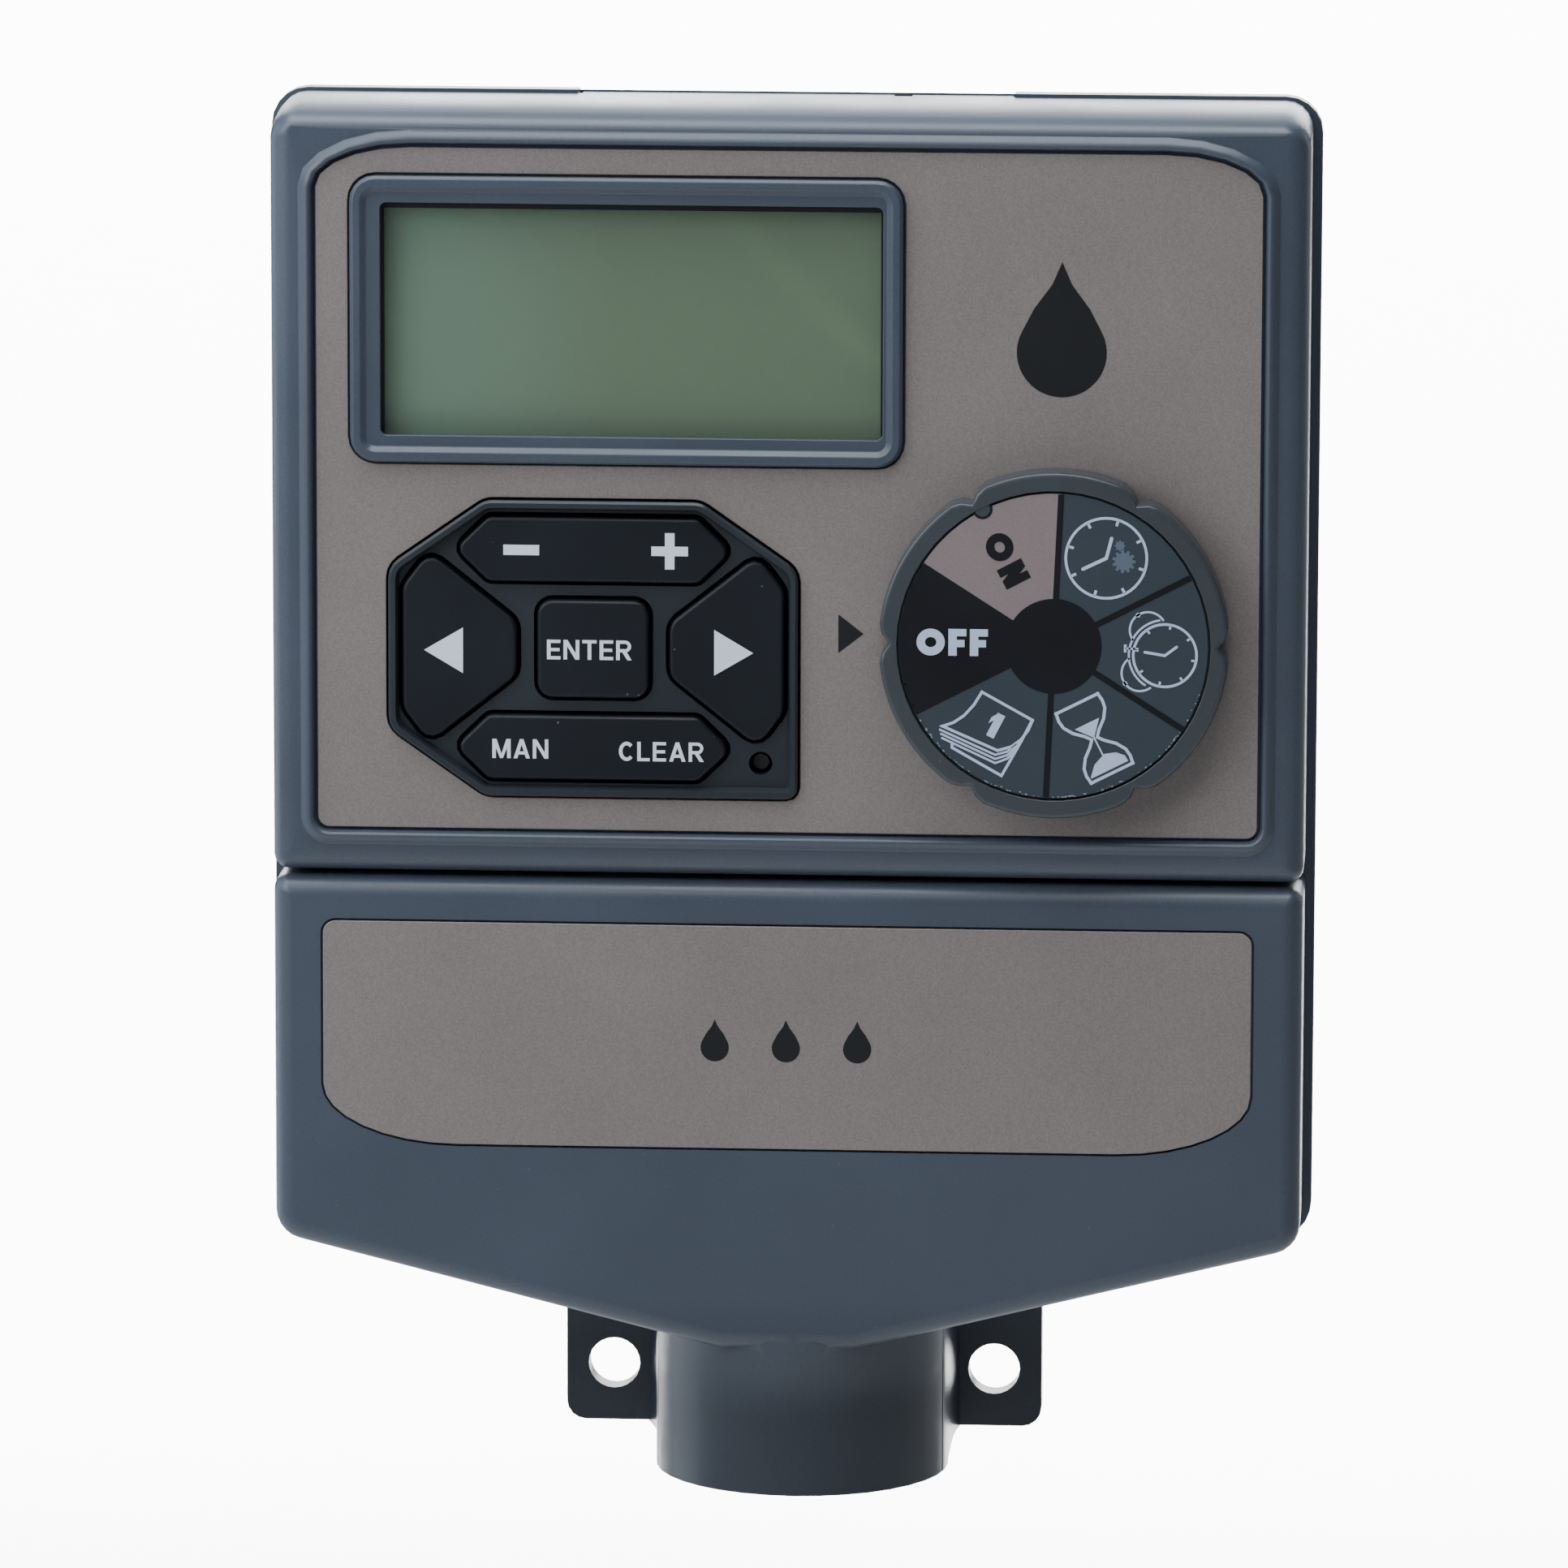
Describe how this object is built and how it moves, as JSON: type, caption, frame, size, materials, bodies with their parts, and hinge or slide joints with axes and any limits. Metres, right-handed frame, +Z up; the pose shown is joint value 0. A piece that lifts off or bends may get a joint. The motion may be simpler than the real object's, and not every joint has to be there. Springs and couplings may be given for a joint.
{
  "type": "irrigation controller",
  "caption": "Wall-mounted irrigation timer: pull-off panel with display, keys and selector dial, wiring cover below and a round cable spigot with screw lugs.",
  "frame": {"origin": "on the wall plane, on the centre line, at the height of the seam between panel and cover", "axes": "+X to the right seen from the front, +Y into the wall, +Z up"},
  "size_m": [0.1324, 0.049, 0.1778],
  "materials": {
    "case_plastic": "satin",
    "label_film": "satin",
    "keypad_plastic": "matte",
    "key_rubber": "matte",
    "carbon": "matte",
    "dark_plastic": "matte",
    "clear_lens": "gloss",
    "lcd": "gloss",
    "circuit_board": "satin",
    "plated_steel": "satin",
    "silicone": "matte",
    "terminal_plastic": "satin",
    "battery_case": "satin",
    "knob_plastic": "satin",
    "dial_print": "satin"
  },
  "bodies": {
    "base": {"rear_case": "case_plastic", "terminal_board": "circuit_board", "board_left_screw": "plated_steel", "board_right_screw": "plated_steel", "terminal_block": "terminal_plastic", "terminal_screw_1": "plated_steel", "terminal_screw_2": "plated_steel", "terminal_screw_3": "plated_steel", "terminal_screw_4": "plated_steel", "terminal_screw_5": "plated_steel", "terminal_screw_6": "plated_steel", "terminal_screw_7": "plated_steel", "terminal_screw_8": "plated_steel", "header_socket": "terminal_plastic", "cable_clamp": "dark_plastic", "clamp_left_screw": "plated_steel", "clamp_right_screw": "plated_steel"},
    "panel": {"front_case": "case_plastic", "fascia_label": "label_film", "lcd_window": "clear_lens", "lcd_glass": "lcd", "lcd_holder": "dark_plastic", "lcd_contact_strip": "silicone", "keypad_bezel": "keypad_plastic", "keypad_mat": "silicone", "main_board": "circuit_board", "microcontroller": "dark_plastic", "watch_crystal": "plated_steel", "dial_switch": "dark_plastic", "reset_switch": "dark_plastic", "header_plug": "plated_steel", "panel_back": "case_plastic", "battery": "battery_case", "battery_snap": "dark_plastic", "panel_screw_1": "plated_steel", "panel_screw_2": "plated_steel", "panel_screw_3": "plated_steel", "panel_screw_4": "plated_steel"},
    "cover": {"lower_cover": "case_plastic", "lower_label": "label_film"},
    "dial": {"dial_knob": "knob_plastic", "dial_disc": "dial_print", "dial_shaft": "plated_steel"},
    "enter_key": {"key_enter": "key_rubber", "contact_enter": "carbon"},
    "left_key": {"key_left": "key_rubber", "contact_left": "carbon"},
    "right_key": {"key_right": "key_rubber", "contact_right": "carbon"},
    "minus_plus_key": {"key_minus_plus": "key_rubber", "contact_minus": "carbon", "contact_plus": "carbon"},
    "man_clear_key": {"key_man_clear": "key_rubber", "contact_man": "carbon", "contact_clear": "carbon"},
    "reset": {"reset_plunger": "dark_plastic"}
  },
  "joints": [
    {"name": "panel_release", "type": "slide", "parent": "base", "child": "panel", "axis": [0, -1, 0], "range_m": [0, 0.045]},
    {"name": "cover_release", "type": "slide", "parent": "base", "child": "cover", "axis": [0, -1, 0], "range_m": [0, 0.045]},
    {"name": "dial_turn", "type": "hinge", "parent": "panel", "child": "dial", "pos_m": [0.0336, -0.0446, 0.0312], "axis": [0, -1, 0], "continuous": true},
    {"name": "enter_press", "type": "slide", "parent": "panel", "child": "enter_key", "axis": [0, 1, 0], "range_m": [0, 0.001], "stiffness_N_per_m": 1500},
    {"name": "left_press", "type": "slide", "parent": "panel", "child": "left_key", "axis": [0, 1, 0], "range_m": [0, 0.001], "stiffness_N_per_m": 1500},
    {"name": "right_press", "type": "slide", "parent": "panel", "child": "right_key", "axis": [0, 1, 0], "range_m": [0, 0.001], "stiffness_N_per_m": 1500},
    {"name": "minus_plus_rock", "type": "hinge", "parent": "panel", "child": "minus_plus_key", "pos_m": [-0.02435, -0.0405, 0.0419], "axis": [0, 0, 1], "range_deg": [-3, 3], "stiffness_Nm_per_rad": 0.3},
    {"name": "man_clear_rock", "type": "hinge", "parent": "panel", "child": "man_clear_key", "pos_m": [-0.02435, -0.0405, 0.0167], "axis": [0, 0, 1], "range_deg": [-3, 3], "stiffness_Nm_per_rad": 0.3},
    {"name": "reset_press", "type": "slide", "parent": "panel", "child": "reset", "axis": [0, 1, 0], "range_m": [0, 0.00025], "stiffness_N_per_m": 3000}
  ]
}
